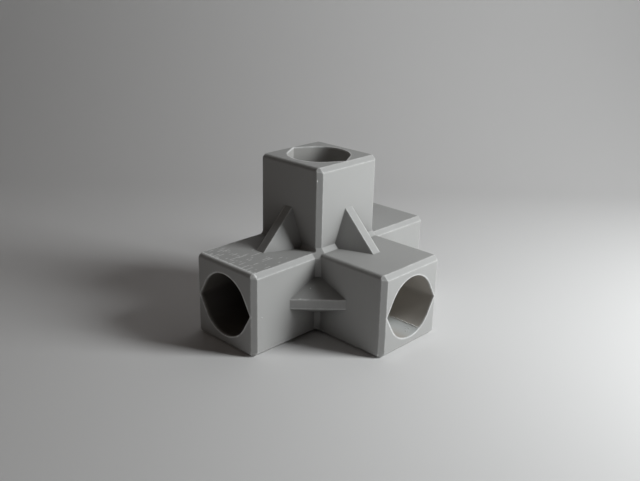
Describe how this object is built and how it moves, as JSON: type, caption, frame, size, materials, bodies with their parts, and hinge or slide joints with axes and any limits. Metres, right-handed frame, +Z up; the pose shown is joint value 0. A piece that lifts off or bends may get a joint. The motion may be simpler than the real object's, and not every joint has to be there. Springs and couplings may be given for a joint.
{
  "type": "pipe connector",
  "caption": "Pipe connector with square arms to the sides, the front and the top, each with a round, pointed socket for a pipe, braced by triangular webs.",
  "frame": {"origin": "on the base face, under the point where the socket axes cross", "axes": "+X along one side arm, -Y along the front arm, +Z up the top arm"},
  "size_m": [0.108, 0.072, 0.072],
  "materials": {
    "connector_body": "satin light grey print, with fine layer lines"
  },
  "bodies": {
    "root": {"connector_body": "connector_body"}
  },
  "joints": []
}
